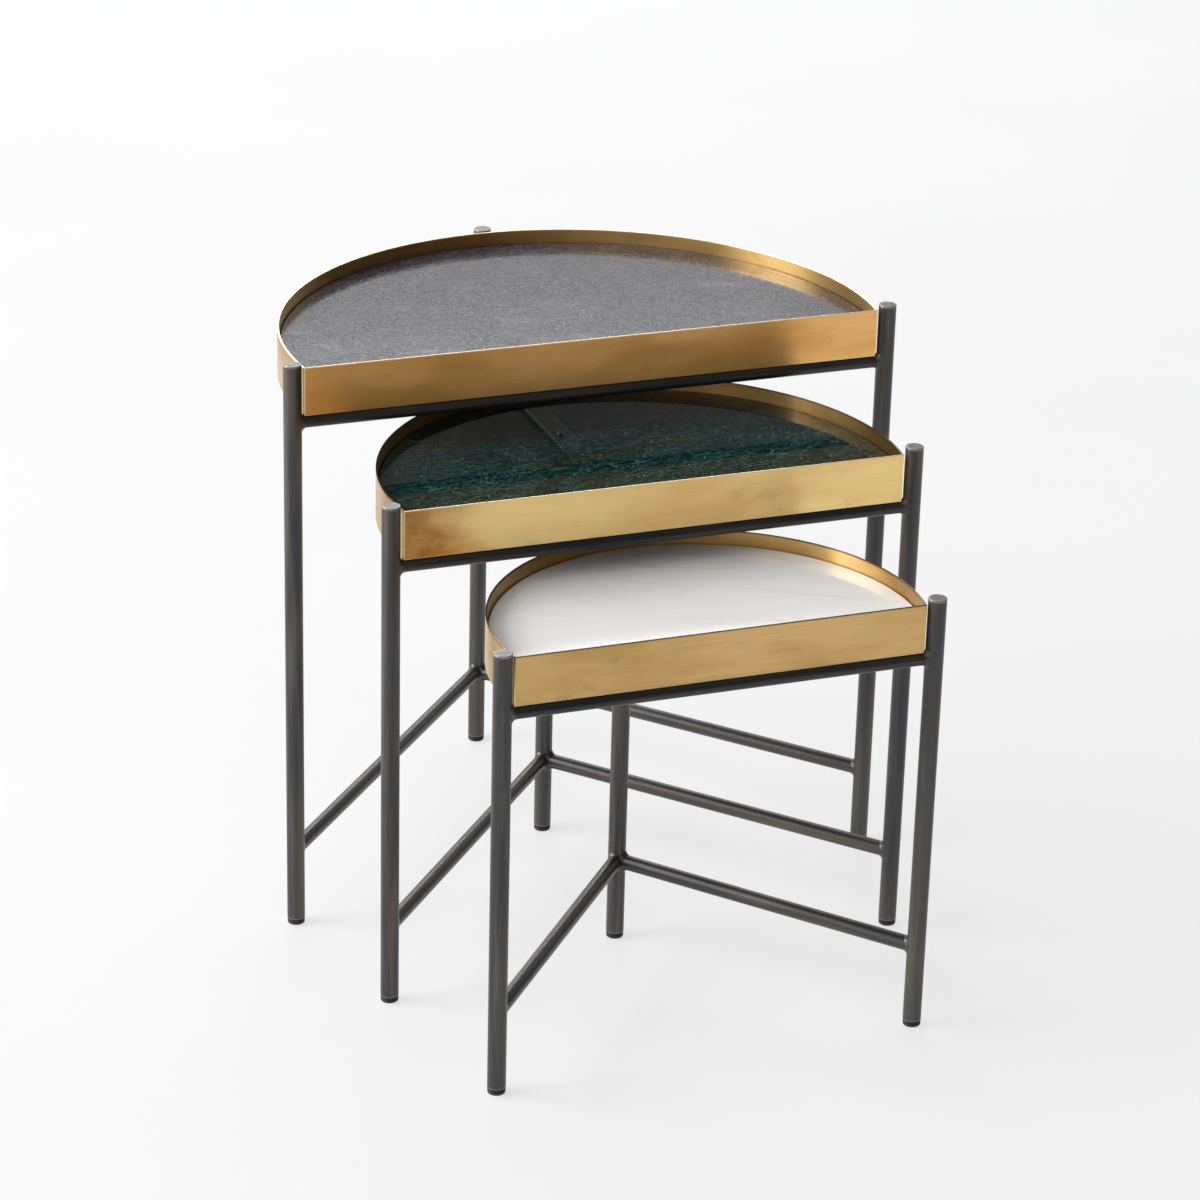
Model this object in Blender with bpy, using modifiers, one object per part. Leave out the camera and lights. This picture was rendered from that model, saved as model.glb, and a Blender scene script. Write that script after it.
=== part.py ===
"""Three half-round nesting tables: brass trays with stone tops on tube frames.

The large, medium and small tables stand fanned out, each slid straight forward
from under the next larger one. Metres, +Z up, -Y is the front, the floor is z = 0
and the origin lies under the middle of the whole group.
"""

import math

import bmesh
import bpy

# ---- driving dimensions shared by the three tables -------------------------------
LEG_R = 0.0095  # 19 mm leg tube
LEG_WALL = 0.0015
STRETCHER_R = 0.008  # 16 mm stretcher tube
RAIL_R = 0.00635  # 12.7 mm front rail tube
TUBE_WALL = 0.0013
CAP_T = 0.0025  # closing disc on top of each leg
FOOT_H = 0.0062  # plastic glide under each leg
FOOT_R = 0.0093
SHEET = 0.002  # brass sheet of the tray
BASE_T = 0.0015
BACKER_T = 0.015
STONE_T = 0.0195
STONE_GAP = 0.001
BAR_W, BAR_T = 0.024, 0.005  # flat bar under the middle of the tray
SCREW_R, SCREW_HEAD_R = 0.0024, 0.0045
GAP = 0.0003
ROUND_STEPS = 28
ARC_STEPS = 76

# half_w is the half width of the tray's straight front, bulge is how far the centre
# of its arc lies behind that front, pull is how far the table stands in front of the
# large one and shift is its sideways offset.
TABLES = {
    "large": dict(height=0.637, rim=0.632, tray_h=0.052, leg_x=0.329, leg_back=0.3765,
                  half_w=0.317, bulge=0.045, front=-0.002, stretcher_z=0.088,
                  pull=0.0, shift=0.0),
    "medium": dict(height=0.553, rim=0.5455, tray_h=0.052, leg_x=0.2815, leg_back=0.3255,
                   half_w=0.269, bulge=0.0425, front=-0.002, stretcher_z=0.087,
                   pull=0.194, shift=-0.003),
    "small": dict(height=0.479, rim=0.473, tray_h=0.052, leg_x=0.226, leg_back=0.2725,
                  half_w=0.2145, bulge=0.041, front=-0.001, stretcher_z=0.091,
                  pull=0.405, shift=-0.013),
}
# Puts the origin under the middle of the group, front to back.
GROUP_Y = (TABLES["small"]["pull"] - TABLES["large"]["leg_back"]) / 2

for old in list(bpy.data.objects):
    bpy.data.objects.remove(old, do_unlink=True)

scene = bpy.context.scene
parts = bpy.data.collections.new("half_round_nesting_tables")
cutters = bpy.data.collections.new("cutters")
scene.collection.children.link(parts)
scene.collection.children.link(cutters)
cutters.hide_render = True


# ---- materials -------------------------------------------------------------------
def material(name, colour, roughness, metallic):
    made = bpy.data.materials.new(name)
    made.use_nodes = True
    shader = made.node_tree.nodes["Principled BSDF"]
    shader.inputs["Base Color"].default_value = (*colour, 1.0)
    shader.inputs["Roughness"].default_value = roughness
    shader.inputs["Metallic"].default_value = metallic
    made.diffuse_color = (*colour, 1.0)
    return made


LOOKS = {
    "tray_front": ((0.50, 0.33, 0.13), 0.38, 1.0),
    "tray_wall": ((0.46, 0.30, 0.12), 0.38, 1.0),
    "tray_base": ((0.40, 0.27, 0.11), 0.45, 1.0),
    "backer": ((0.32, 0.22, 0.13), 0.8, 0.0),
    "frame_rail": ((0.060, 0.055, 0.052), 0.38, 0.9),
    "support_bar": ((0.055, 0.052, 0.050), 0.42, 0.9),
    "leg": ((0.065, 0.058, 0.053), 0.36, 0.9),
    "leg_cap": ((0.075, 0.072, 0.070), 0.4, 0.9),
    "stretcher": ((0.060, 0.056, 0.052), 0.38, 0.9),
    "foot": ((0.012, 0.012, 0.012), 0.55, 0.0),
    "screw": ((0.20, 0.20, 0.20), 0.35, 1.0),
}
STONES = {
    "large": ((0.085, 0.083, 0.088), 0.42, 0.0),
    "medium": ((0.010, 0.045, 0.037), 0.1, 0.0),
    "small": ((0.80, 0.79, 0.77), 0.25, 0.0),
}


# ---- shape helpers ---------------------------------------------------------------
def add_mesh(name, mesh, where, collection=parts, smooth=False, look=None):
    obj = bpy.data.objects.new(name, mesh)
    obj.location = where
    collection.objects.link(obj)
    if smooth:
        mesh.shade_smooth()
    if look is not None:
        mesh.materials.append(material(name, *look))
    if collection is cutters:
        obj.display_type = "WIRE"
        obj.hide_render = True
    return obj


def turned(name, profile, where, look, closed=False):
    """A profile of (radius, z) points turned once round the Z axis."""
    mesh = bpy.data.meshes.new(name)
    edges = [(i, i + 1) for i in range(len(profile) - 1)]
    if closed:
        edges.append((len(profile) - 1, 0))
    mesh.from_pydata([(r, 0.0, z) for r, z in profile], edges, [])
    obj = add_mesh(name, mesh, where, look=look)
    screw = obj.modifiers.new("Turn", "SCREW")
    screw.axis = "Z"
    screw.angle = math.tau
    screw.steps = screw.render_steps = ROUND_STEPS
    screw.use_merge_vertices = True
    screw.merge_threshold = 0.00001
    screw.use_smooth_shade = True
    return obj


def tube(name, radius, wall, start, end, look):
    """An open tube between two points."""
    direction = [b - a for a, b in zip(start, end)]
    length = math.dist(start, end)
    yaw = math.atan2(direction[1], direction[0])
    mesh = bpy.data.meshes.new(name)
    shape = bmesh.new()
    rings = []
    for x, r in ((0, radius), (length, radius), (length, radius - wall), (0, radius - wall)):
        ring = []
        for step in range(ROUND_STEPS):
            turn = math.tau * (step + 0.5) / ROUND_STEPS
            ring.append(shape.verts.new((x, r * math.cos(turn), r * math.sin(turn))))
        rings.append(ring)
    for a, b in zip(rings, rings[1:] + rings[:1]):
        for i in range(ROUND_STEPS):
            j = (i + 1) % ROUND_STEPS
            shape.faces.new((a[i], b[i], b[j], a[j]))
    bmesh.ops.recalc_face_normals(shape, faces=shape.faces)
    shape.to_mesh(mesh)
    shape.free()
    obj = add_mesh(name, mesh, start, smooth=True, look=look)
    obj.rotation_euler = (0.0, 0.0, yaw)
    return obj


def plain_cylinder(name, radius, depth, where, steps=ROUND_STEPS):
    mesh = bpy.data.meshes.new(name)
    shape = bmesh.new()
    bmesh.ops.create_cone(shape, cap_ends=True, segments=steps, radius1=radius,
                          radius2=radius, depth=depth)
    shape.to_mesh(mesh)
    shape.free()
    return add_mesh(name, mesh, where, collection=cutters)


def plain_block(name, size, centre):
    mesh = bpy.data.meshes.new(name)
    shape = bmesh.new()
    bmesh.ops.create_cube(shape, size=1.0)
    for vertex in shape.verts:
        vertex.co = [c * s for c, s in zip(vertex.co, size)]
    shape.to_mesh(mesh)
    shape.free()
    return add_mesh(name, mesh, centre, collection=cutters)


def cut(obj, *tools):
    for tool in tools:
        boolean = obj.modifiers.new("Cut " + tool.name, "BOOLEAN")
        boolean.operation = "DIFFERENCE"
        boolean.solver = "EXACT"
        boolean.object = tool


def box(name, size, centre, bevel, look):
    """A block with its long edges softened."""
    bpy.ops.mesh.primitive_cube_add(size=1.0)
    obj = bpy.context.active_object
    obj.name = obj.data.name = name
    for vertex in obj.data.vertices:
        vertex.co = [c * s for c, s in zip(vertex.co, size)]
    obj.location = centre
    for collection in list(obj.users_collection):
        collection.objects.unlink(obj)
    parts.objects.link(obj)
    obj.data.materials.append(material(name, *look))
    soften(obj, bevel)
    return obj


def soften(obj, width):
    if width:
        bevel = obj.modifiers.new("Soft edges", "BEVEL")
        bevel.width = width
        bevel.segments = 1
        bevel.limit_method = "ANGLE"
        bevel.angle_limit = math.radians(50)


def arc(table, inset, y_start):
    """Points of the tray's arc, right to left, moved in by inset and cut at y_start."""
    radius = math.hypot(table["half_w"], table["bulge"]) - inset
    centre_y = table["front"] + table["bulge"]
    first = math.asin((y_start - centre_y) / radius)
    turn = math.pi - 2 * first
    return [
        (radius * math.cos(first + turn * i / ARC_STEPS),
         centre_y + radius * math.sin(first + turn * i / ARC_STEPS))
        for i in range(ARC_STEPS + 1)
    ]


def plate(name, outline, z, thickness, where, look, bevel=0.0):
    """A flat plate: a filled outline given a thickness, resting at height z."""
    curve = bpy.data.curves.new(name, "CURVE")
    curve.dimensions = "2D"
    curve.fill_mode = "BOTH"
    curve.extrude = thickness / 2
    spline = curve.splines.new("POLY")
    spline.points.add(len(outline) - 1)
    for point, (x, y) in zip(spline.points, outline):
        point.co = (x, y, 0.0, 1.0)
    spline.use_cyclic_u = True
    flat = bpy.data.objects.new(name + "_outline", curve)
    scene.collection.objects.link(flat)
    graph = bpy.context.evaluated_depsgraph_get()
    mesh = bpy.data.meshes.new_from_object(flat.evaluated_get(graph))
    bpy.data.objects.remove(flat, do_unlink=True)
    shape = bmesh.new()
    shape.from_mesh(mesh)
    bmesh.ops.remove_doubles(shape, verts=shape.verts, dist=0.00001)
    bmesh.ops.dissolve_limit(shape, angle_limit=math.radians(0.3),
                             verts=shape.verts, edges=shape.edges)
    bmesh.ops.recalc_face_normals(shape, faces=shape.faces)
    shape.to_mesh(mesh)
    shape.free()
    mesh.name = name
    x, y, base = where
    obj = add_mesh(name, mesh, (x, y, base + z + thickness / 2), look=look)
    soften(obj, bevel)
    return obj


# ---- the pieces of one table -----------------------------------------------------
def build_tray(size, table, where):
    x, y, _ = where
    low = table["rim"] - table["tray_h"]
    back_of_front = table["front"] + SHEET

    box(f"{size}_tray_front",
        (2 * table["half_w"], SHEET, table["tray_h"]),
        (x, y + table["front"] + SHEET / 2, low + table["tray_h"] / 2),
        0.0003, LOOKS["tray_front"])

    mesh = bpy.data.meshes.new(f"{size}_tray_wall")
    ribbon = bmesh.new()
    points = arc(table, 0.0, back_of_front + GAP)
    rows = [[ribbon.verts.new((px, py, z)) for px, py in points]
            for z in (low, table["rim"])]
    for i in range(len(points) - 1):
        ribbon.faces.new((rows[0][i], rows[0][i + 1], rows[1][i + 1], rows[1][i]))
    ribbon.to_mesh(mesh)
    ribbon.free()
    wall = add_mesh(f"{size}_tray_wall", mesh, (x, y, 0.0), look=LOOKS["tray_wall"])
    solid = wall.modifiers.new("Sheet", "SOLIDIFY")
    solid.thickness = SHEET
    solid.offset = -1.0

    inside = SHEET + GAP
    lip = back_of_front + GAP
    stone_in = SHEET + STONE_GAP
    stone_lip = back_of_front + STONE_GAP
    base_z = low + 0.0002
    base = plate(f"{size}_tray_base", arc(table, inside, lip), base_z, BASE_T, where,
                 LOOKS["tray_base"])
    backer_z = base_z + BASE_T + GAP
    backer = plate(f"{size}_top_backer", arc(table, stone_in, stone_lip), backer_z,
                   BACKER_T, where, LOOKS["backer"])
    stone_z = backer_z + BACKER_T + GAP
    plate(f"{size}_top_stone", arc(table, stone_in, stone_lip), stone_z, STONE_T, where,
          STONES[size], bevel=0.0007)
    return base, backer, low


def build_frame(size, table, where):
    x, y, _ = where
    low = table["rim"] - table["tray_h"]
    spots = {
        "left": (x - table["leg_x"], y),
        "right": (x + table["leg_x"], y),
        "back": (x, y + table["leg_back"]),
    }
    clear = {}
    for side, (lx, ly) in spots.items():
        # the back leg stops level with the rim, the front legs stand just above it
        top = table["rim"] + 0.0005 if side == "back" else table["height"]
        inner = LEG_R - LEG_WALL
        tube_top = top - CAP_T - GAP
        tube_low = FOOT_H + GAP
        turned(f"{size}_leg_{side}",
               [(LEG_R, tube_top), (LEG_R, tube_low), (inner, tube_low), (inner, tube_top)],
               (lx, ly, 0.0), LOOKS["leg"], closed=True)
        peg = inner - GAP
        turned(f"{size}_leg_cap_{side}",
               [(0.0, top), (LEG_R - 0.0006, top), (LEG_R, top - 0.0006),
                (LEG_R, top - CAP_T), (peg, top - CAP_T), (peg, top - CAP_T - 0.006),
                (0.0, top - CAP_T - 0.006)],
               (lx, ly, 0.0), LOOKS["leg_cap"])
        turned(f"{size}_foot_{side}",
               [(0.0, FOOT_H + 0.010), (peg, FOOT_H + 0.010), (peg, FOOT_H),
                (FOOT_R, FOOT_H), (FOOT_R, 0.0046), (FOOT_R - 0.0006, 0.0042),
                (FOOT_R - 0.0001, 0.0038), (FOOT_R - 0.0003, 0.0014),
                (FOOT_R - 0.0014, 0.0), (0.0, 0.0)],
               (lx, ly, 0.0), LOOKS["foot"])
        clear[side] = plain_cylinder(f"cut_{size}_{side}", LEG_R + GAP, 2.0, (lx, ly, 0.3))

    rail_z = low - GAP - RAIL_R
    rail = tube(f"{size}_rail_front", RAIL_R, TUBE_WALL,
                (*spots["left"], rail_z), (*spots["right"], rail_z), LOOKS["frame_rail"])
    cut(rail, clear["left"], clear["right"])

    for side in ("left", "right"):
        level = table["stretcher_z"]
        run = tube(f"{size}_stretcher_{side}", STRETCHER_R, TUBE_WALL,
                   (*spots[side], level), (*spots["back"], level), LOOKS["stretcher"])
        # the two runs meet in a mitre on the middle plane, in front of the back leg
        away = 1 if side == "left" else -1
        mitre = plain_block(f"cut_{size}_mitre_{side}", (0.1, 0.2, 0.1),
                            (x + away * (0.05 - GAP / 2), spots["back"][1], level))
        cut(run, clear[side], clear["back"], mitre)

    # flat bar from the front rail to the back leg, right under the tray
    near, far = RAIL_R + GAP, table["leg_back"]
    bar = box(f"{size}_support_bar", (BAR_W, far - near, BAR_T),
              (x, y + (near + far) / 2, low - GAP - BAR_T / 2), 0.0, LOOKS["support_bar"])
    cut(bar, clear["back"])
    return bar, low


def build_screws(size, table, where, bar, base, backer, low):
    """Two pan-head screws up through the bar and the tray into the backer."""
    x, y, _ = where
    under = low - GAP - BAR_T
    for number, share in enumerate((0.28, 0.72), start=1):
        spot = (x, y + table["leg_back"] * share)
        tip = low + BASE_T + 0.010
        hole = plain_cylinder(f"cut_{size}_screw_{number}", SCREW_R + GAP, 0.04,
                              (*spot, tip + GAP - 0.02), steps=16)
        cut(bar, hole)
        cut(base, hole)
        cut(backer, hole)
        head_low = under - GAP - 0.0026
        turned(f"{size}_tray_screw_{number}",
               [(0.0, tip), (SCREW_R, tip), (SCREW_R, under - GAP),
                (SCREW_HEAD_R, under - GAP), (SCREW_HEAD_R - 0.0002, under - GAP - 0.0013),
                (SCREW_HEAD_R - 0.0016, head_low), (0.0, head_low)],
               (*spot, 0.0), LOOKS["screw"])


for size, table in TABLES.items():
    where = (table["shift"], GROUP_Y - table["pull"], 0.0)
    base, backer, low = build_tray(size, table, where)
    bar, _ = build_frame(size, table, where)
    build_screws(size, table, where, bar, base, backer, low)
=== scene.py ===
"""The looks of three half-round nesting tables: brushed antique brass trays, stone tops
and patinated steel tube frames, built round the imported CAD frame. Metres, +Z up.
"""

import math

import bmesh
import bpy
from mathutils import Matrix, Vector, noise


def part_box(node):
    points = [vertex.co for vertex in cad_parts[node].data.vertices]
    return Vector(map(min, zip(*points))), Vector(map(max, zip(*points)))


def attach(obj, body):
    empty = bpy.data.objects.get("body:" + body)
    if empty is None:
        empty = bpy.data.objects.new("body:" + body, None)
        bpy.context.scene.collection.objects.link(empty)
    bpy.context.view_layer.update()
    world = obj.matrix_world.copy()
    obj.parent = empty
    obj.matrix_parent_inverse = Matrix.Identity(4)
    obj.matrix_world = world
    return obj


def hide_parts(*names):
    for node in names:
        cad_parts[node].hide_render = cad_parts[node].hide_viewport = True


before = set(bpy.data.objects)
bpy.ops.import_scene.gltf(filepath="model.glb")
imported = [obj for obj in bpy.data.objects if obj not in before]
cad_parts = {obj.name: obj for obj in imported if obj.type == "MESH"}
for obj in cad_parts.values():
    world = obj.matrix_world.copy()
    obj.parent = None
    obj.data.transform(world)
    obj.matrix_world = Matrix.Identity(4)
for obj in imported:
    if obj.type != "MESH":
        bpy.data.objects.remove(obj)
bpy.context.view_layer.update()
SIZES = ("large", "medium", "small")

# ---- sizes the looks add to the CAD, in metres --------------------------------------
SHEET = 0.002  # brass sheet of a tray
SOFT_EDGE = 0.00045  # rounding of the sheet's edges
TUBE_WALL = 0.0015
CAP_SEAM = 0.0027  # depth of the seam between a leg's tube and its closing disc
CAP_BEVEL = 0.0008
WELD_INSET = 0.0009  # how far a welded tube's end goes into the leg's wall
WELD_SINK = 0.0003  # how far a weld's rim dips under the metal it joins
RAIL_WELD, FRONT_WELD, BACK_WELD = 0.0056, 0.0050, 0.0062
BAR_ROUNDING = 0.0022
SCREW_HEAD = 0.0026  # height of the button head
FLOOR_HALF, FLOOR_Z = 14.0, -0.0002
SMOOTH_ANGLE, WELD_SMOOTH_ANGLE = 40, 75  # degrees


# ---- node graph helper -----------------------------------------------------------
class Graph:
    """A material's node tree, written as short expressions."""

    def __init__(self, name):
        self.mat = bpy.data.materials.new(name)
        self.mat.use_nodes = True
        self.tree = self.mat.node_tree
        self.tree.nodes.clear()

    def node(self, kind, inputs=None, **settings):
        made = self.tree.nodes.new("ShaderNode" + kind)
        for key, value in settings.items():
            setattr(made, key, value)
        for key, value in (inputs or {}).items():
            socket = made.inputs[key]
            if isinstance(value, bpy.types.NodeSocket):
                self.tree.links.new(value, socket)
            else:
                socket.default_value = value
        return made

    def object_coords(self):
        """Place in the piece's own axes, in metres."""
        return self.node("TexCoord").outputs["Object"]

    def metres(self):
        """Length and height along the sheet, in metres."""
        return self.node("UVMap", uv_map="metres").outputs[0]

    def wear_and_painted_edge_light(self):
        """The mesh's own record of its marked edges, -1 to 1: lighter where positive, as rubbed
        metal and painted highlight, darker where negative, as painted shade.
        """
        return self.node("Attribute", attribute_name="wear_and_painted_edge_light").outputs["Fac"]

    def stretch(self, vector, scale, move=(0, 0, 0), turn=(0, 0, 0)):
        return self.node("Mapping", {"Vector": vector, "Scale": scale, "Location": move,
                                     "Rotation": turn}).outputs[0]

    def noise(self, vector, scale=1.0, detail=3.0, rough=0.5, twist=0.0):
        return self.node("TexNoise", {"Vector": vector, "Scale": scale, "Detail": detail,
                                      "Roughness": rough, "Distortion": twist}).outputs["Fac"]

    def cells(self, vector, feature="F1", output="Distance"):
        return self.node("TexVoronoi", {"Vector": vector, "Scale": 1.0},
                         feature=feature).outputs[output]

    def calc(self, operation, a, b=0.0, clamp=False):
        return self.node("Math", {0: a, 1: b}, operation=operation,
                         use_clamp=clamp).outputs[0]

    def span(self, value, low, high, to_low=0.0, to_high=1.0):
        return self.node("MapRange", {"Value": value, "From Min": low, "From Max": high,
                                      "To Min": to_low, "To Max": to_high},
                         interpolation_type="SMOOTHSTEP").outputs["Result"]

    def mix(self, share, a, b):
        made = self.node("Mix", data_type="RGBA")
        for socket, value in ((made.inputs[0], share), (made.inputs[6], a), (made.inputs[7], b)):
            if isinstance(value, bpy.types.NodeSocket):
                self.tree.links.new(value, socket)
            elif isinstance(value, (tuple, list)):
                socket.default_value = (*value, 1.0)
            else:
                socket.default_value = value
        return made.outputs[2]

    def bump(self, height, strength, distance, below=None):
        inputs = {"Height": height, "Strength": strength, "Distance": distance}
        if below is not None:
            inputs["Normal"] = below
        return self.node("Bump", inputs).outputs[0]

    def finish(self, **inputs):
        shader = self.node("BsdfPrincipled", {k.replace("_", " "): v for k, v in inputs.items()})
        out = self.node("OutputMaterial")
        self.tree.links.new(shader.outputs[0], out.inputs[0])
        return self.mat


# ---- materials -------------------------------------------------------------------
def brass(name, seed, light=(0.72, 0.465, 0.185), deep=(0.56, 0.335, 0.110), stain=0.35,
          aged=None):
    """Horizontally brushed brass, warm brown patina, its edges drawn bright as rubbed brass and
    painted highlight, and in places drawn dark as painted shade.
    """
    g = Graph(name)
    uv = g.metres()
    move = (seed * 3.7, seed * 1.3, 0)
    brushed = g.noise(g.stretch(uv, (13, 1250, 1), move), 1.0, 3.0, 0.62)
    clouds = g.noise(g.stretch(uv, (5.5, 17, 1), move), 1.0, 3.0, 0.55, 0.25)
    blots = g.noise(g.stretch(uv, (26, 46, 1), move), 1.0, 4.0, 0.62, 0.3)
    base = g.mix(g.span(clouds, 0.34, 0.60), deep, light)
    base = g.mix(g.span(blots, 0.56, 0.80, 0.0, stain), base, tuple(c * 0.45 for c in deep))
    base = g.mix(g.span(brushed, 0.58, 0.30, 0.0, 0.24), base, tuple(c * 0.72 for c in deep))
    base = g.mix(g.span(brushed, 0.52, 0.78, 0.0, 0.30), base, (0.86, 0.62, 0.29))
    if aged:
        # one end of the strip has a deeper, redder patina that breaks up into blots
        start, end, share, colour = aged
        along = g.node("SeparateXYZ", {0: uv}).outputs[0]
        ragged = g.calc("ADD", along, g.calc("MULTIPLY", g.calc("SUBTRACT", clouds, 0.5), 0.16))
        broken = g.calc("MULTIPLY", g.span(ragged, start, end),
                        g.span(blots, 0.22, 0.62, 0.55, 1.0))
        base = g.mix(g.calc("MULTIPLY", broken, share), base, colour)
    edge_wear_and_light = g.wear_and_painted_edge_light()
    # edges marked positive go pale gold: rubbed brass and a painted highlight
    base = g.mix(g.calc("MAXIMUM", edge_wear_and_light, 0.0), base, (0.92, 0.73, 0.46))
    # edges marked negative go near-black brown: painted shade
    base = g.mix(g.calc("MAXIMUM", g.calc("MULTIPLY", edge_wear_and_light, -1.0), 0.0), base,
                 (0.085, 0.048, 0.022))
    rough = g.span(g.calc("ADD", g.calc("MULTIPLY", clouds, 0.5),
                          g.calc("MULTIPLY", brushed, 0.5)), 0.3, 0.7, 0.38, 0.29)
    waves = g.noise(g.stretch(uv, (9, 14, 1), move), 1.0, 1.0)
    normal = g.bump(brushed, 0.05, 0.0001, g.bump(waves, 0.08, 0.0012))
    tangent = g.node("Tangent", direction_type="UV_MAP", uv_map="metres").outputs[0]
    return g.finish(Base_Color=base, Metallic=1.0, Roughness=rough, Normal=normal,
                    Anisotropic=0.75, Anisotropic_Rotation=0.25, Tangent=tangent)


def tube_metal(name, seed, tone=1.0, rough=0.34, lumpy=0.0):
    """Steel tube with a dark bronze and blue-grey patina, streaked along its length."""
    g = Graph(name)
    co = g.object_coords()
    move = (seed * 1.9, seed * 0.7, seed * 2.3)
    streaks = g.noise(g.stretch(co, (130, 130, 6), move), 1.0, 3.0, 0.55)
    bands = g.noise(g.stretch(co, (60, 60, 3.0), move), 1.0, 2.0, 0.5)
    grain = g.noise(g.stretch(co, (2600, 2600, 260), move), 1.0, 2.0, 0.6)
    base = g.mix(g.span(bands, 0.34, 0.66), tuple(c * tone for c in (0.066, 0.069, 0.076)),
                 tuple(c * tone for c in (0.118, 0.103, 0.086)))
    base = g.mix(g.span(streaks, 0.42, 0.74, 0.0, 0.60), base,
                 tuple(c * tone for c in (0.200, 0.176, 0.145)))
    base = g.mix(g.span(grain, 0.62, 0.86, 0.0, 0.35), base,
                 tuple(c * tone for c in (0.028, 0.027, 0.027)))
    # marked parts go light grey: a painted highlight on the cap bevels and the bar's rounded edges,
    # rubbed metal at the tubes' foot ends, and the weld's raised lumps
    base = g.mix(g.calc("MULTIPLY", g.wear_and_painted_edge_light(), 0.7), base, (0.50, 0.48, 0.45))
    dullness = g.span(g.calc("ADD", g.calc("MULTIPLY", streaks, 0.5),
                             g.calc("MULTIPLY", grain, 0.5)), 0.3, 0.7,
                      rough - 0.06, rough + 0.09)
    normal = g.bump(grain, 0.10 + lumpy, 0.00015)
    if lumpy:
        lumps = g.noise(g.stretch(co, (420, 420, 420), move), 1.0, 2.0, 0.5)
        normal = g.bump(lumps, 0.5, 0.0008, normal)
    return g.finish(Base_Color=base, Metallic=0.65, Roughness=dullness, Normal=normal)


def granite():
    """Polished blue-grey granite: fine pepper grain, small pale flecks, drifting cloudiness."""
    g = Graph("stone_honed_granite")
    co = g.object_coords()
    fine = g.noise(g.stretch(co, (330, 460, 330)), 1.0, 4.0, 0.72)
    pepper = g.noise(g.stretch(co, (800, 1000, 800), (2, 5, 0)), 1.0, 2.0, 0.6)
    flecks = g.cells(g.stretch(co, (210, 330, 210)))
    dots = g.cells(g.stretch(co, (75, 120, 75), (3.1, 1.2, 0)))
    drift = g.noise(g.stretch(co, (13, 24, 9)), 1.0, 5.0, 0.70, 0.6)
    base = g.mix(g.span(fine, 0.36, 0.66), (0.014, 0.013, 0.017), (0.155, 0.147, 0.175))
    base = g.mix(g.span(drift, 0.38, 0.62, 0.0, 0.62), base, (0.022, 0.020, 0.026))
    base = g.mix(g.span(drift, 0.54, 0.70, 0.0, 0.45), base, (0.155, 0.148, 0.172))
    base = g.mix(g.span(pepper, 0.56, 0.74, 0.0, 0.55), base, (0.008, 0.008, 0.009))
    base = g.mix(g.span(flecks, 0.24, 0.08, 0.0, 0.50), base, (0.26, 0.255, 0.268))
    base = g.mix(g.span(dots, 0.11, 0.04, 0.0, 0.75), base, (0.36, 0.355, 0.36))
    rough = g.span(g.calc("ADD", g.calc("MULTIPLY", fine, 0.6), g.calc("MULTIPLY", drift, 0.4)),
                   0.35, 0.65, 0.075, 0.15)
    normal = g.bump(fine, 0.06, 0.0002)
    return g.finish(Base_Color=base, Roughness=rough, Normal=normal, IOR=1.5,
                    Specular_IOR_Level=0.5)


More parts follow.
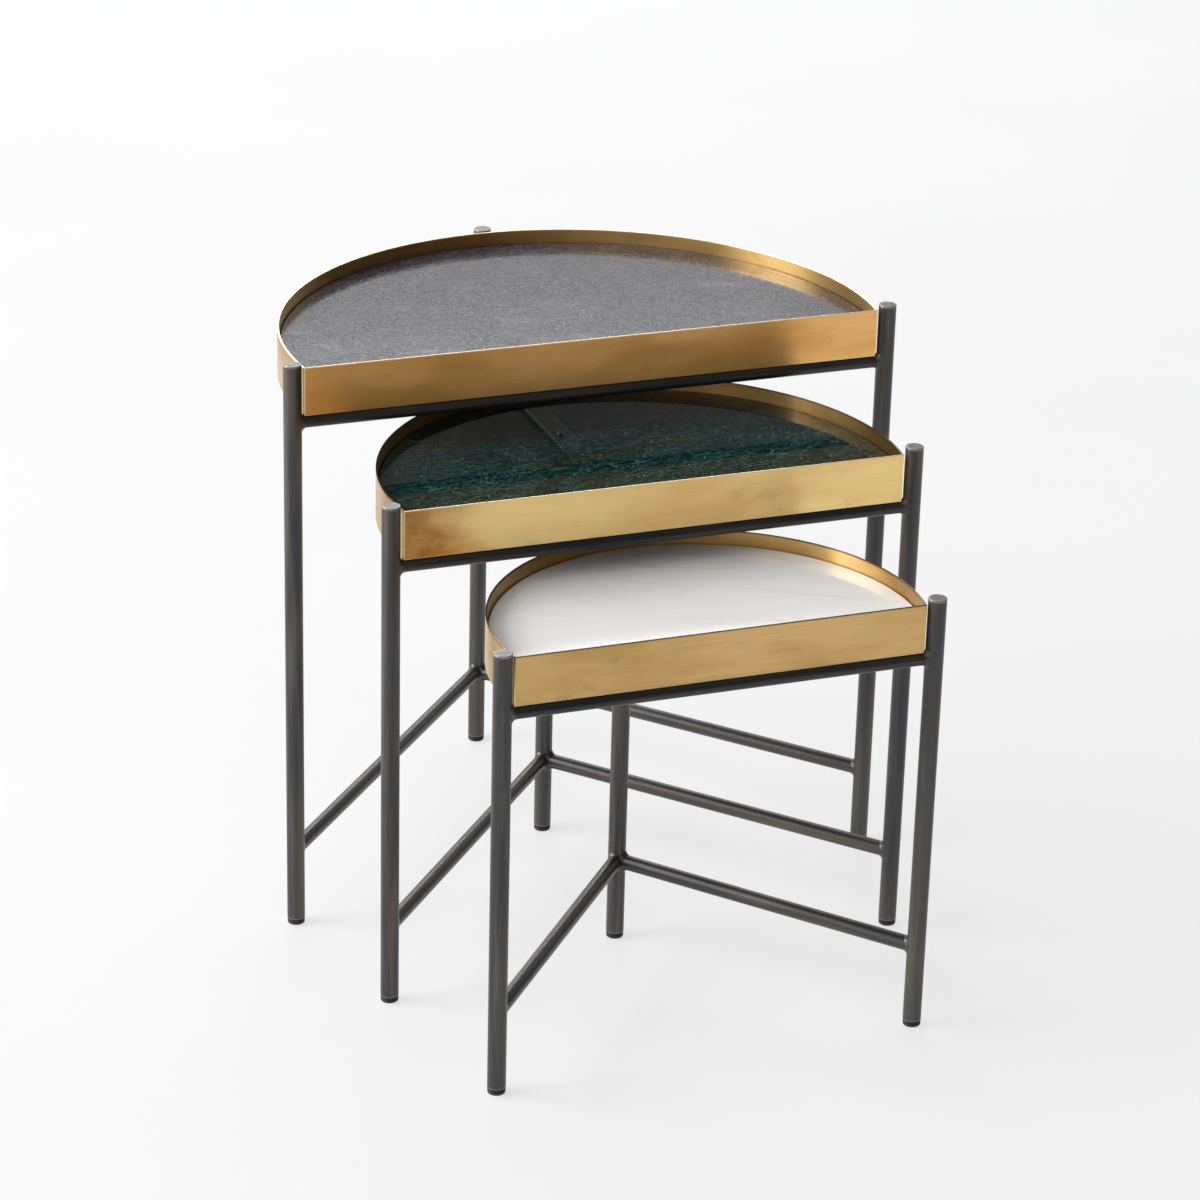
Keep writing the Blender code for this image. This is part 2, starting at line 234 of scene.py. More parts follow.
def green_marble():
    """Polished dark green marble: teal and black chips in bands, olive streaks, white flecks."""
    g = Graph("stone_green_marble")
    co = g.object_coords()
    warp = g.node("TexNoise", {"Vector": co, "Scale": 26.0, "Detail": 5.0,
                               "Roughness": 0.65}).outputs["Color"]
    bent = g.node("VectorMath", {0: co, 1: g.stretch(warp, (0.022, 0.014, 0.0))},
                  operation="ADD").outputs[0]
    turned = g.stretch(bent, (1, 1, 1), (0, 0, 0), (0, 0, math.radians(-5)))
    chip = g.cells(g.stretch(turned, (330, 560, 330)), output="Color")
    shade = g.node("SeparateColor", {0: chip}).outputs[0]
    big = g.cells(g.stretch(turned, (130, 260, 130), (4, 1, 0)), output="Color")
    shade_big = g.node("SeparateColor", {0: big}).outputs[1]
    mottle = g.noise(g.stretch(turned, (130, 260, 130)), 1.0, 6.0, 0.78, 0.6)
    bands = g.noise(g.stretch(turned, (3.0, 24, 3), (0.6, 2.2, 0)), 1.0, 4.0, 0.6, 0.6)
    patches = g.noise(g.stretch(turned, (14, 46, 14), (5, 2, 0)), 1.0, 5.0, 0.7, 0.9)
    value = g.calc("ADD", g.calc("MULTIPLY", shade, 0.38),
                   g.calc("ADD", g.calc("MULTIPLY", shade_big, 0.17),
                          g.calc("MULTIPLY", mottle, 0.45)))
    teal = g.mix(g.span(value, 0.32, 0.62), (0.0022, 0.0075, 0.0070), (0.013, 0.058, 0.054))
    teal = g.mix(g.span(value, 0.60, 0.76), teal, (0.026, 0.105, 0.099))
    olive = g.mix(g.span(value, 0.32, 0.66), (0.0060, 0.0090, 0.0050), (0.052, 0.066, 0.034))
    base = g.mix(g.span(bands, 0.52, 0.66, 0.0, 0.75), teal, olive)
    base = g.mix(g.span(patches, 0.58, 0.72, 0.0, 0.75), base, (0.0030, 0.0070, 0.0065))
    cracks = g.cells(g.stretch(turned, (46, 105, 46), (1.7, 0.4, 0)), "DISTANCE_TO_EDGE")
    veins = g.calc("MULTIPLY", g.span(cracks, 0.040, 0.006), g.span(patches, 0.48, 0.58),
                   clamp=True)
    base = g.mix(g.calc("MULTIPLY", veins, 0.42), base, (0.20, 0.34, 0.31))
    sparks = g.cells(g.stretch(turned, (150, 260, 150), (2.2, 0.9, 0)))
    lit = g.calc("MULTIPLY", g.span(sparks, 0.20, 0.07), g.span(patches, 0.45, 0.53), clamp=True)
    base = g.mix(g.calc("MULTIPLY", lit, g.span(mottle, 0.48, 0.62)), base, (0.52, 0.66, 0.61))
    rough = g.span(value, 0.3, 0.7, 0.045, 0.075)
    ripple = g.noise(co, 60.0, 1.0, 0.4)
    return g.finish(Base_Color=base, Roughness=rough, Normal=g.bump(ripple, 0.02, 0.0005),
                    IOR=1.5, Specular_IOR_Level=0.5)


def white_marble():
    """Polished white marble with hardly visible straight wisps that run on a slant."""
    g = Graph("stone_white_marble")
    co = g.object_coords()
    warp = g.node("TexNoise", {"Vector": co, "Scale": 5.0, "Detail": 2.0}).outputs["Color"]
    bent = g.node("VectorMath", {0: co, 1: g.stretch(warp, (0.03, 0.02, 0.0))},
                  operation="ADD").outputs[0]
    turned = g.stretch(bent, (1, 1, 1), (0, 0, 0), (0, 0, math.radians(27)))
    wisps = g.noise(g.stretch(turned, (2.6, 46, 5)), 1.0, 5.0, 0.62, 0.2)
    clouds = g.noise(g.stretch(turned, (5, 15, 5), (4, 7, 0)), 1.0, 4.0, 0.6, 0.3)
    lines = g.noise(g.stretch(turned, (1.8, 30, 3), (9, 3, 0)), 1.0, 2.0, 0.5, 0.1)
    vein = g.span(g.calc("ABSOLUTE", g.calc("SUBTRACT", lines, 0.5)), 0.012, 0.0)
    here = g.span(clouds, 0.46, 0.62)
    crystals = g.noise(g.stretch(co, (650, 650, 650)), 1.0, 2.0, 0.6)
    base = g.mix(g.span(clouds, 0.35, 0.70, 0.0, 0.8), (0.93, 0.928, 0.922), (0.885, 0.882, 0.872))
    base = g.mix(g.span(wisps, 0.54, 0.76, 0.0, 0.50), base, (0.77, 0.752, 0.72))
    base = g.mix(g.calc("MULTIPLY", g.calc("MULTIPLY", vein, here), 0.30), base, (0.47, 0.43, 0.37))
    base = g.mix(g.span(crystals, 0.56, 0.78, 0.0, 0.25), base, (0.92, 0.92, 0.915))
    rough = g.span(wisps, 0.3, 0.7, 0.085, 0.13)
    return g.finish(Base_Color=base, Roughness=rough, Normal=g.bump(crystals, 0.02, 0.0002),
                    IOR=1.5, Specular_IOR_Level=0.5)


def foot_plastic():
    """Black moulded plastic, scuffed."""
    g = Graph("foot_moulded_plastic")
    co = g.object_coords()
    grain = g.noise(co, 2600.0, 2.0, 0.5)
    scuffs = g.noise(g.stretch(co, (160, 160, 700)), 1.0, 3.0, 0.6)
    base = g.mix(g.span(scuffs, 0.5, 0.8, 0.0, 0.6), (0.012, 0.012, 0.013), (0.045, 0.045, 0.047))
    return g.finish(Base_Color=base, Roughness=g.span(scuffs, 0.3, 0.7, 0.32, 0.55),
                    Normal=g.bump(grain, 0.15, 0.0001))


def fibreboard():
    """Raw brown board with a fine fibre."""
    g = Graph("backer_fibreboard")
    co = g.object_coords()
    fibres = g.noise(g.stretch(co, (500, 500, 1500)), 1.0, 4.0, 0.65)
    base = g.mix(g.span(fibres, 0.3, 0.7), (0.26, 0.17, 0.10), (0.46, 0.33, 0.21))
    return g.finish(Base_Color=base, Roughness=0.85, Normal=g.bump(fibres, 0.4, 0.0005))


def under_sheet():
    """The tray's underside: unpolished sheet, grey-brown and blotched."""
    g = Graph("tray_underside_sheet")
    co = g.object_coords()
    rolled = g.noise(g.stretch(co, (6, 240, 6)), 1.0, 3.0, 0.6)
    clouds = g.noise(co, 11.0, 4.0, 0.6, 0.4)
    spots = g.noise(co, 150.0, 4.0, 0.7)
    base = g.mix(g.span(clouds, 0.35, 0.65), (0.060, 0.056, 0.050), (0.105, 0.096, 0.084))
    base = g.mix(g.span(spots, 0.58, 0.8, 0.0, 0.6), base, (0.035, 0.032, 0.028))
    base = g.mix(g.span(rolled, 0.4, 0.8, 0.0, 0.3), base, (0.15, 0.138, 0.120))
    return g.finish(Base_Color=base, Metallic=0.75, Roughness=g.span(rolled, 0.3, 0.7, 0.42, 0.55),
                    Normal=g.bump(rolled, 0.15, 0.0003))


def zinc():
    """Zinc-plated steel, slightly tarnished."""
    g = Graph("screw_zinc_steel")
    co = g.object_coords()
    grain = g.noise(co, 1800.0, 3.0, 0.6)
    tarnish = g.noise(co, 300.0, 3.0, 0.6)
    base = g.mix(g.span(tarnish, 0.4, 0.7), (0.58, 0.58, 0.57), (0.40, 0.38, 0.34))
    return g.finish(Base_Color=base, Metallic=1.0, Roughness=g.span(grain, 0.3, 0.7, 0.25, 0.42),
                    Normal=g.bump(grain, 0.1, 0.0001))


# ---- mesh helpers ----------------------------------------------------------------
def make_piece(name, rings, look, body, slot, stands_for=(), *, place, close=False,
               sharp=SMOOTH_ANGLE, weighted=False):
    """A skin over rings of (point, edge mark, (u, v)) tuples, each ring closed round itself.

    The edge mark is +1 where the metal is drawn bright, as rubbed metal and painted highlight, and
    -1 where it is drawn dark, as painted shade.
    """
    shape = bmesh.new()
    wear_and_painted_edge_light = shape.verts.layers.float.new("wear_and_painted_edge_light")
    uv = shape.loops.layers.uv.new("metres")
    rows, flat = [], {}
    for ring in rings:
        row = []
        for point, edge_wear_and_light, at in ring:
            vertex = shape.verts.new(point)
            vertex[wear_and_painted_edge_light] = edge_wear_and_light
            flat[vertex] = at
            row.append(vertex)
        rows.append(row)
    count = len(rows[0])
    pairs = list(zip(rows, rows[1:])) + ([(rows[-1], rows[0])] if close else [])
    for below, above in pairs:
        for i in range(count):
            j = (i + 1) % count
            shape.faces.new((below[i], below[j], above[j], above[i]))
    if not close:
        shape.faces.new(reversed(rows[0]))
        shape.faces.new(rows[-1])
    for face in shape.faces:
        for loop in face.loops:
            loop[uv].uv = flat[loop.vert]
    bmesh.ops.recalc_face_normals(shape, faces=shape.faces)
    mesh = bpy.data.meshes.new(name)
    shape.to_mesh(mesh)
    shape.free()
    mesh.materials.append(look)
    for polygon in mesh.polygons:
        polygon.use_smooth = True
    mesh.set_sharp_from_angle(angle=math.radians(sharp))
    obj = bpy.data.objects.new(name, mesh)
    bpy.context.scene.collection.objects.link(obj)
    obj.matrix_world = place
    if weighted:
        even = obj.modifiers.new("Even normals", "WEIGHTED_NORMAL")
        even.keep_sharp = True
    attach(obj, body)
    if stands_for:
        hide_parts(*stands_for)
    return obj


UV_RADIUS = 0.0095  # turns an angle round a turned piece into metres for its texture


def lathe(name, profile, centre, look, body, slot, stands_for=(), steps=48, warp=None, **more):
    """A turned shape: profile is (radius, z, edge mark of wear and painted light) from one end of
    the axis to the other.
    """
    rings = []
    for radius, z, edge_wear_and_light in profile:
        ring = []
        for i in range(steps):
            angle = 2 * math.pi * i / steps
            r = warp(radius, z, angle) if warp else radius
            ring.append(((r * math.cos(angle), r * math.sin(angle), z), edge_wear_and_light,
                         (angle * UV_RADIUS, z)))
        rings.append(ring)
    return make_piece(name, rings, look, body, slot, stands_for,
                      place=Matrix.Translation(centre), **more)


def round_tube(name, start, end, radius, look, body, slot, stands_for=(), steps=40):
    """A tube as a smooth skin along its own z, so that its streaks follow its length."""
    start, end = Vector(start), Vector(end)
    along = end - start
    length = along.length
    turn = along.to_track_quat("Z", "X").to_matrix().to_4x4()
    count = max(2, round(length / 0.02))
    rings = []
    for k in range(count + 1):
        z = length * k / count
        ring = []
        for i in range(steps):
            angle = 2 * math.pi * i / steps
            ring.append(((radius * math.cos(angle), radius * math.sin(angle), z), 0.0,
                         (i / steps, z)))
        rings.append(ring)
    return make_piece(name, rings, look, body, slot, stands_for,
                      place=Matrix.Translation(start) @ turn)


def weld(name, centre, direction, leg_r, tube_r, size, look, body, seed):
    """The fillet of a weld where a level tube meets an upright one, slightly lumpy."""
    out = Vector(direction).normalized()
    side = Vector((-out.y, out.x, 0.0))
    up = Vector((0.0, 0.0, 1.0))
    rings = []
    around = 44
    for k in range(around):
        angle = 2 * math.pi * k / around
        c, s = math.cos(angle), math.sin(angle)
        wobble = noise.noise(Vector((2.1 * c + seed, 2.1 * s, seed * 0.7)))
        w = size * (1.0 + 0.22 * wobble)
        edge = out * math.sqrt(leg_r ** 2 - (tube_r * c) ** 2) + side * tube_r * c + up * tube_r * s
        on_tube = edge + out * w - (side * c + up * s) * WELD_SINK
        theta = math.asin(tube_r * c / leg_r) + w * c / leg_r
        on_leg = ((out * math.cos(theta) + side * math.sin(theta)) * (leg_r - WELD_SINK)
                  + up * (tube_r + w) * s)
        bulge = (side * c + up * s + out * 0.8).normalized()
        control = edge + bulge * (0.10 * w)
        root = edge - bulge * 0.0012
        ring = []
        steps = 7
        for j in range(steps + 1):
            t = j / steps
            point = on_tube * (1 - t) ** 2 + control * 2 * t * (1 - t) + on_leg * t ** 2
            lump = noise.noise(Vector((9 * c + seed * 3, 9 * s, 3 * t + seed)))
            point += bulge * 0.00035 * lump * math.sin(math.pi * t)
            ring.append((point, 0.25 * max(0.0, lump), (k / around, t)))
        ring.append((root, 0.0, (k / around, 1.1)))
        rings.append(ring)
    return make_piece(name, rings, look, body, "frame_metal", close=True,
                      place=Matrix.Translation(centre), sharp=WELD_SMOOTH_ANGLE)


# ---- one table -------------------------------------------------------------------
def middle(node):
    """The centre, low corner and high corner of a CAD node's box."""
    low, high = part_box(node)
    return (low + high) / 2, low, high


def build_tray(size, front_look, wall_look):
    """The front strip and the bent wall: softened edges, drawn bright as rubbed brass and painted
    highlight, and in places drawn dark as painted shade.
    """
    # the wall's rim is drawn bright on the large tray and dark, as painted shade, on the two lower
    # trays that stand under another tray; the small tray's front strip has its top edge drawn dark
    # in the same way
    rim_light_sign = 1.0 if size == "large" else -1.0
    top_edge_light_sign = -1.0 if size == "small" else 1.0
    body = size + "_table"
    centre, low, high = middle(size + "_tray_front")
    half = (high - low) / 2

    def section(inset, edge_wear_and_light):
        hy, hz = half.y - inset, half.z - inset
        b, points = min(SOFT_EDGE, hy * 0.8), []
        for sy, sz in ((-1, -1), (1, -1), (1, 1), (-1, 1)):
            corner = [((sy * hy, sz * (hz - b)), 0.9),
                      ((sy * (hy - b * 0.3), sz * (hz - b * 0.3)), 1.0),
                      ((sy * (hy - b), sz * hz), 0.9)]
            lead = ((sy * hy, sz * (hz - 0.0016)), 0.0)
            lead_2 = ((sy * hy, sz * (hz - 0.0008)), 0.35)
            run = [lead, lead_2] + corner
            points += run if sy * sz > 0 else run[::-1]
        return [((y, z), max(w, edge_wear_and_light) if z < hz - 0.0017 or top_edge_light_sign > 0 else min(-w, -edge_wear_and_light))
                for (y, z), w in points]

    def ring(x, inset, edge_wear_and_light):
        return [((x, y, z), w, (x, z + y)) for (y, z), w in section(inset, edge_wear_and_light)]

    # the strip's ends are drawn bright over this length: rubbed brass and a painted highlight
    end_wear_and_light = 0.0018
    stations = [  # (distance from the strip's end, inset, edge mark: rubbed brass and painted highlight)
        (0.0, SOFT_EDGE, 1.0), (SOFT_EDGE * 0.3, SOFT_EDGE * 0.3, 1.0), (SOFT_EDGE, 0.0, 0.9),
        (end_wear_and_light / 2, 0.0, 0.35), (end_wear_and_light, 0.0, 0.0)]
    steps = 60
    rings = [ring(-half.x + d, i, w) for d, i, w in stations]
    rings += [ring(-half.x + end_wear_and_light + 2 * (half.x - end_wear_and_light) * k / steps, 0.0, 0.0)
              for k in range(1, steps)]
    rings += [ring(half.x - d, i, w) for d, i, w in reversed(stations)]
    make_piece(f"{size}_tray_front_strip", rings, front_look, body, "tray_brass",
               [size + "_tray_front"], place=Matrix.Translation(centre), weighted=True)

    wall_centre, wlow, whigh = middle(size + "_tray_wall")
    # the widest points of the wall lie on its arc's own centre line
    radius = (whigh.x - wlow.x) / 2
    centre_y = whigh.y - radius
    first = math.asin(max(-1.0, (wlow.y - centre_y) / radius))
    turn = math.pi - 2 * first
    height = whigh.z - wlow.z
    e = SOFT_EDGE
    profile = [  # (inward offset, height, edge mark of wear and painted light), once round the sheet's section
        (0.0, e, 0.5), (0.0, 0.0012, 0.0),
        (0.0, height - 0.0022, 0.0), (0.0, height - 0.0012, 0.25),
        (0.0, height - e, 0.85), (e * 0.3, height - e * 0.3, 1.0), (e, height, 0.85),
        (SHEET - e, height, 0.85), (SHEET - e * 0.3, height - e * 0.3, 1.0),
        (SHEET, height - e, 0.85), (SHEET, height - 0.0012, 0.25),
        (SHEET, height - 0.0022, 0.0), (SHEET, 0.0012, 0.0),
        (SHEET, e, 0.3), (SHEET - e * 0.3, e * 0.3, 0.4), (SHEET - e, 0.0, 0.4),
        (e, 0.0, 0.4), (e * 0.3, e * 0.3, 0.5)]
    steps = 200
    rings = []
    for i in range(steps + 1):
        angle = first + turn * i / steps
        ring_points = []
        # the rim's marks take the tray's sign: painted highlight on the large tray, painted shade
        # on the two lower ones
        for inset, z, edge_wear_and_light in profile:
            r = radius - inset
            ring_points.append(((r * math.cos(angle), r * math.sin(angle), z),
                                edge_wear_and_light * rim_light_sign if z > height / 2 else edge_wear_and_light,
                                (radius * angle, z + inset)))
        rings.append(ring_points)
    make_piece(f"{size}_tray_wall_band", rings, wall_look, body, "tray_brass",
               [size + "_tray_wall"], weighted=True,
               place=Matrix.Translation((wall_centre.x, centre_y, wlow.z)))


def build_legs(size, looks, foot_look, cap_look):
    """Three tubes, the discs that close them and their feet. Returns (x, y, radius) of each."""
    body = size + "_table"
    spots = {}
    for number, side in enumerate(("left", "right", "back")):
        centre, low, high = middle(f"{size}_leg_{side}")
        _, _, cap_high = middle(f"{size}_leg_cap_{side}")
        radius = (high.x - low.x) / 2
        x, y = centre.x, centre.y
        spots[side] = (x, y, radius)
        top = cap_high.z
        seam = top - CAP_SEAM
        bore = radius - TUBE_WALL
        edge_wear_and_light = low.z + 0.0016  # the tube's foot end is rubbed up to here
        profile = [(bore, low.z, 0.0), (radius - 0.0004, low.z, 0.6),
                   (radius, low.z + 0.0004, 0.5), (radius, edge_wear_and_light, 0.0)]
        profile += [(radius, edge_wear_and_light + (seam - edge_wear_and_light) * k / 40, 0.0) for k in range(1, 41)]
        profile.append((bore, seam, 0.0))
        lathe(f"{size}_leg_{side}_tube", profile, (x, y, 0.0), looks[number], body,
              "frame_metal", [f"{size}_leg_{side}"])
        profile = [(bore, seam - 0.006, 0.0), (bore, seam + 0.00003, 0.0),
                   (radius, seam + 0.00003, 0.0)]
        # the disc's rounded edge is marked for a lighter grey: a painted highlight
        for k in range(5):
            a = math.pi / 2 * k / 4
            profile.append((radius - CAP_BEVEL * (1 - math.cos(a)),
                            top - CAP_BEVEL * (1 - math.sin(a)), 0.55))
        profile += [(radius - 0.0016, top, 0.15), (radius - 0.0024, top, 0.0), (0.0012, top, 0.0)]
        lathe(f"{size}_leg_{side}_end_cap", profile, (x, y, 0.0), cap_look, body, "frame_metal",
              [f"{size}_leg_cap_{side}"], steps=56)
        _, foot_low, foot_high = middle(f"{size}_foot_{side}")
        r = (foot_high.x - foot_low.x) / 2
        profile = [(0.0020, 0.0006, 0), (0.0026, 0.0, 0), (r - 0.0016, 0.0, 0)]
        for k in range(1, 6):
            a = math.pi / 2 * k / 5
            profile.append((r - 0.0001 - 0.0015 * (1 - math.sin(a)),
                            0.0015 * (1 - math.cos(a)), 0))
        # up the rim, round the groove, and in to the plug inside the tube
        profile += [(r - 0.0001, 0.0034, 0), (r - 0.0003, 0.0037, 0), (r - 0.0011, 0.0038, 0),
                    (r - 0.0011, 0.0043, 0), (r - 0.0003, 0.0044, 0), (r, 0.0047, 0),
                    (r, 0.0059, 0), (r - 0.0003, 0.0062, 0), (bore - 0.0003, 0.0062, 0),
                    (bore - 0.0003, 0.0158, 0), (bore - 0.0008, 0.0162, 0)]
        lathe(f"{size}_foot_{side}_glide", profile, (x, y, 0.0), foot_look, body, "foot_plastic",
              [f"{size}_foot_{side}"], steps=56)
    return spots


def build_frame(size, spots, looks, weld_look):
    """The rail under the tray's front, the two low stretchers and their welds."""
    body = size + "_table"
    rail_centre, rail_low, rail_high = middle(size + "_rail_front")
    rail_r = (rail_high.z - rail_low.z) / 2
    left, right, back = (Vector((*spots[s][:2], 0.0)) for s in ("left", "right", "back"))
    leg_r = spots["left"][2]
    reach = leg_r - WELD_INSET  # from a leg's axis to the end of a tube welded to it
    up = Vector((0, 0, rail_centre.z))
    across = (right - left).normalized()
    round_tube(f"{size}_front_rail_tube", left + up + across * reach, right + up - across * reach,
               rail_r, looks[0], body, "frame_metal", [size + "_rail_front"])
    weld(f"{size}_weld_rail_left", left + up, across, leg_r, rail_r, RAIL_WELD, weld_look,
         body, 1.3)
    weld(f"{size}_weld_rail_right", right + up, -across, leg_r, rail_r, RAIL_WELD, weld_look,
         body, 4.1)
    for number, (side, spot) in enumerate((("left", left), ("right", right))):
        centre, low, high = middle(f"{size}_stretcher_{side}")
        tube_r = (high.z - low.z) / 2
        level = Vector((0, 0, centre.z))
        run = (back - spot).normalized()
        round_tube(f"{size}_stretcher_{side}_tube", spot + level + run * reach,
                   back + level - run * reach, tube_r, looks[1 + number], body, "frame_metal",
                   [f"{size}_stretcher_{side}"])
        weld(f"{size}_weld_stretcher_{side}_front", spot + level, run, leg_r, tube_r, FRONT_WELD,
             weld_look, body, 7.7 + number)
        weld(f"{size}_weld_stretcher_{side}_back", back + level, -run, leg_r, tube_r, BACK_WELD,
             weld_look, body, 11.9 + number)


def build_bar(size, look):
    """The flat bar under the tray, with rounded long edges marked lighter as a painted highlight.
    """
    node = size + "_support_bar"
    centre, low, high = middle(node)
    half = (high - low) / 2
    r = min(BAR_ROUNDING, half.z * 0.45)
    section = []
    for sx, sz, first in ((1, 1, 0), (-1, 1, 90), (-1, -1, 180), (1, -1, 270)):
        for step in range(5):
            a = math.radians(first + 22.5 * step)
            section.append(((sx * (half.x - r) + r * math.cos(a),
                             sz * (half.z - r) + r * math.sin(a)),
                            1.0 if 0 < step < 4 else 0.5))
    flat = []  # the section again, with the painted highlight ending just past each corner
    for k, ((x, z), edge_wear_and_light) in enumerate(section):
        flat.append(((x, z), edge_wear_and_light))
        (x2, z2), _ = section[(k + 1) % len(section)]
        run = math.hypot(x2 - x, z2 - z)
        if run > 0.004:
            for share in (0.0008 / run, 1 - 0.0008 / run):
                flat.append(((x + (x2 - x) * share, z + (z2 - z) * share), 0.0))
    count = 24
    rings = [[((x, -half.y + 2 * half.y * k / count, z), edge_wear_and_light, (x + z, half.y * k / count))
              for (x, z), edge_wear_and_light in flat] for k in range(count + 1)]
    make_piece(f"{size}_support_bar_rounded", rings, look, size + "_table", "frame_metal", [node],
               place=Matrix.Translation(centre), weighted=True)


def build_screws(size, look):
    """Button-head screws with a hexagon socket, driven up through the bar."""
    body = size + "_table"
    for number in (1, 2):
        node = f"{size}_tray_screw_{number}"
        centre, low, high = middle(node)
        head_r = (high.x - low.x) / 2
        under = low.z + SCREW_HEAD

        def socket(radius, z, angle):
            if radius > 0.0017:
                return radius
            facet = (angle + math.pi / 6) % (math.pi / 3) - math.pi / 6
            return radius * math.cos(math.pi / 6) / math.cos(facet)

        profile = [(0.0015, low.z + 0.0014, 0), (0.0016, low.z + 0.0002, 0.3), (0.0019, low.z, 0.6)]
        for k in range(7):
            a = math.pi / 2 * k / 6
            profile.append((0.0022 + (head_r - 0.0022) * math.sin(a),
                            under - 0.0004 - 0.0022 * math.cos(a), 0.1))
        profile += [(head_r, under, 0.0), (0.0023, under, 0.0), (0.0023, high.z - 0.001, 0.0),
                    (0.0006, high.z, 0.0)]
        lathe(f"{size}_tray_screw_{number}_button_head", profile, (centre.x, centre.y, 0.0), look,
              body, "screw_steel", [node], steps=36, warp=socket)


# colours of each front strip: brighter and deeper patina, and where its left end is aged
# (from this x, to this x, share, colour)
FRONT_TONES = {
    "large": {"light": (0.96, 0.545, 0.20), "deep": (0.79, 0.415, 0.121),
              "aged": (-0.08, -0.34, 0.70, (0.74, 0.370, 0.088))},
    "medium": {"light": (0.99, 0.74, 0.325), "deep": (0.95, 0.65, 0.26),
               "aged": (-0.165, -0.265, 0.95, (0.42, 0.215, 0.058))},
    "small": {"light": (0.71, 0.465, 0.195), "deep": (0.59, 0.370, 0.135),
              "aged": (-0.12, -0.24, 0.50, (0.52, 0.30, 0.090))},
}
STONES = {"large": granite(), "medium": green_marble(), "small": white_marble()}
PLASTIC, BOARD, SHEET_LOOK, ZINC = foot_plastic(), fibreboard(), under_sheet(), zinc()
for index, size in enumerate(SIZES):
    body = size + "_table"
    front = brass(f"brass_front_{size}", 1.0 + index * 2.3, **FRONT_TONES[size])
    wall = brass(f"brass_wall_{size}", 8.0 + index * 1.9, (0.67, 0.425, 0.165),
                 (0.48, 0.285, 0.095))
    build_tray(size, front, wall)
    legs = [tube_metal(f"leg_metal_{size}_{k}", 3.0 * index + k, tone=0.72) for k in range(3)]
    cap = tube_metal(f"cap_metal_{size}", 20.0 + index, tone=0.85, rough=0.30)
    spots = build_legs(size, legs, PLASTIC, cap)
    # the front rail under the tray is given the darkest tone, a painted shade
    rails = [tube_metal(f"rail_metal_{size}_{k}", 30.0 + 3 * index + k, tone=(0.5, 0.7, 0.7)[k])
             for k in range(3)]
    build_frame(size, spots, rails,
                tube_metal(f"weld_metal_{size}", 50.0 + index, tone=0.62, rough=0.28, lumpy=0.15))
    build_screws(size, ZINC)
    bar = tube_metal(f"bar_metal_{size}", 60.0 + index, tone=0.45)
    build_bar(size, bar)
    for node, look in (("top_stone", STONES[size]), ("top_backer", BOARD),
                       ("tray_base", SHEET_LOOK)):
        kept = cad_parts[f"{size}_{node}"]
        kept.data.materials.clear()
        kept.data.materials.append(look)

# ---- stage, light and camera -----------------------------------------------------
floor_mesh = bpy.data.meshes.new("floor")
floor_mesh.from_pydata([(x * FLOOR_HALF, y * FLOOR_HALF, FLOOR_Z)
                        for x, y in ((-1, -1), (1, -1), (1, 1), (-1, 1))], [], [(0, 1, 2, 3)])
floor = bpy.data.objects.new("floor", floor_mesh)
bpy.context.scene.collection.objects.link(floor)
g = Graph("floor_white_paint")
mottle = g.noise(g.object_coords(), 2.0, 3.0, 0.5)
floor_mesh.materials.append(g.finish(
    Base_Color=g.mix(g.span(mottle, 0.3, 0.7), (0.305, 0.305, 0.306), (0.315, 0.315, 0.316)),
    Roughness=0.7, Specular_IOR_Level=0.0,
    Emission_Color=(1.0, 1.0, 1.0, 1.0), Emission_Strength=0.635))

world = bpy.data.worlds.new("studio")
bpy.context.scene.world = world
world.use_nodes = True
tree = world.node_tree
tree.nodes.clear()
coords = tree.nodes.new("ShaderNodeTexCoord")
glow = 0.10  # even light from all round, then (towards, from cosine, to cosine, gain)
for direction, low, high, gain in (((-0.95, -0.10, 0.30), -0.20, 1.00, 0.85),
                                   ((0.25, 0.88, 0.40), 0.35, 0.95, 0.74)):
    toward = tree.nodes.new("ShaderNodeVectorMath")
    toward.operation = "DOT_PRODUCT"
    toward.inputs[1].default_value = Vector(direction).normalized()
    tree.links.new(coords.outputs["Generated"], toward.inputs[0])
    lobe = tree.nodes.new("ShaderNodeMapRange")
    lobe.interpolation_type = "SMOOTHSTEP"
    for socket, value in (("From Min", low), ("From Max", high), ("To Min", 0.0),
                          ("To Max", gain)):
        lobe.inputs[socket].default_value = value
    tree.links.new(toward.outputs["Value"], lobe.inputs["Value"])
    total = tree.nodes.new("ShaderNodeMath")
    tree.links.new(lobe.outputs["Result"], total.inputs[0])
    if isinstance(glow, float):
        total.inputs[1].default_value = glow
    else:
        tree.links.new(glow, total.inputs[1])
    glow = total.outputs[0]
sky = tree.nodes.new("ShaderNodeBackground")
sky.inputs["Color"].default_value = (0.985, 0.99, 1.0, 1.0)
tree.links.new(glow, sky.inputs["Strength"])
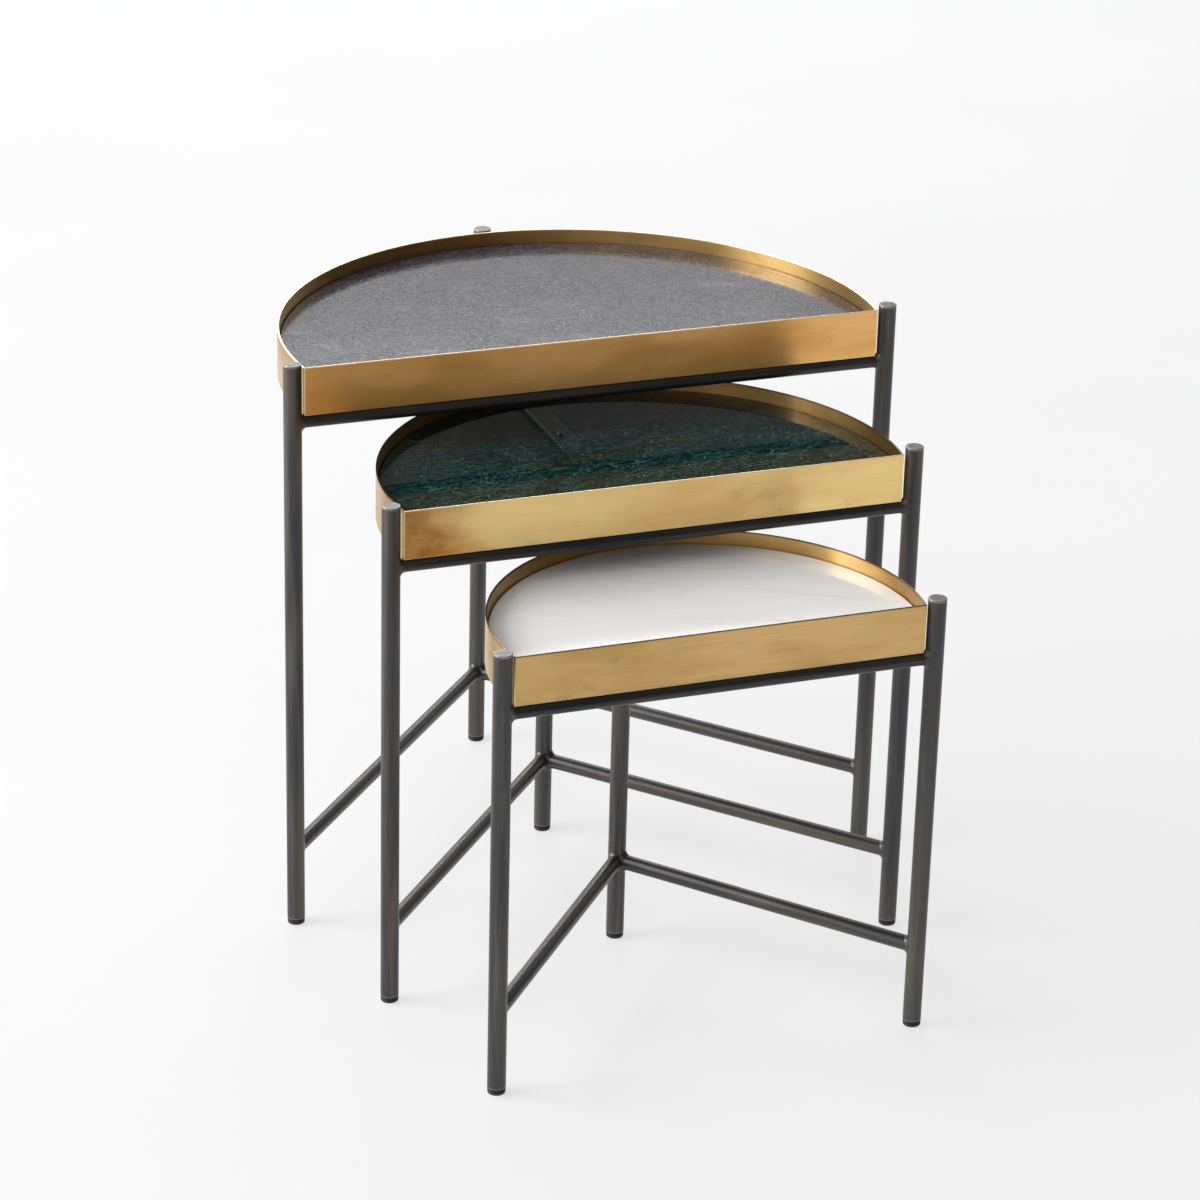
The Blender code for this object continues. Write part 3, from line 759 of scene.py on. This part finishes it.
world_out = tree.nodes.new("ShaderNodeOutputWorld")
tree.links.new(sky.outputs[0], world_out.inputs[0])


def area_light(name, where, target, size, watts):
    """A soft rectangular panel at one place that faces another."""
    light = bpy.data.lights.new(name, "AREA")
    light.shape = "RECTANGLE"
    light.size, light.size_y = size
    light.energy = watts
    obj = bpy.data.objects.new(name, light)
    bpy.context.scene.collection.objects.link(obj)
    obj.location = where
    obj.rotation_mode = "QUATERNION"
    obj.rotation_quaternion = (Vector(target) - Vector(where)).to_track_quat("-Z", "Y")
    return obj


area_light("window_left", (-3.4, 0.9, 2.6), (0, 0, 0.35), (2.4, 2.0), 96.0)
panel = area_light("panel_left", (-2.97, 0.77, 1.05), (0, 0, 0.55), (2.2, 1.5), 64.0)
# the low panel leaves out the floor and the dark stones, whose polish would mirror it
unlit = bpy.data.collections.new("not_lit_by_panel")
for obj in (floor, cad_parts["large_top_stone"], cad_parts["medium_top_stone"]):
    unlit.objects.link(obj)
for entry in unlit.collection_objects:
    entry.light_linking.link_state = "EXCLUDE"
panel.light_linking.receiver_collection = unlit
area_light("background", (0.8, 5.4, 3.3), (0.3, 3.0, 0.0), (3.5, 1.0), 80.0)

yaw, pitch, roll = 0.3603, 0.4090, 0.0258  # radians: to the right, down, clockwise
forward = Vector((math.sin(yaw) * math.cos(pitch), math.cos(yaw) * math.cos(pitch),
                  -math.sin(pitch)))
right = Vector((math.cos(yaw), -math.sin(yaw), 0.0))
above = right.cross(forward)
right_2 = right * math.cos(roll) + above * math.sin(roll)
above_2 = above * math.cos(roll) - right * math.sin(roll)
camera_data = bpy.data.cameras.new("camera")
camera_data.sensor_width = 36.0
camera_data.lens = 120.0
camera_data.clip_end = 60.0
camera = bpy.data.objects.new("camera", camera_data)
bpy.context.scene.collection.objects.link(camera)
turn = Matrix((right_2, above_2, -forward)).transposed().to_4x4()
camera.matrix_world = Matrix.Translation((-1.3734, -3.6585, 2.0350)) @ turn
bpy.context.scene.camera = camera
bpy.context.scene.view_settings.view_transform = "Standard"
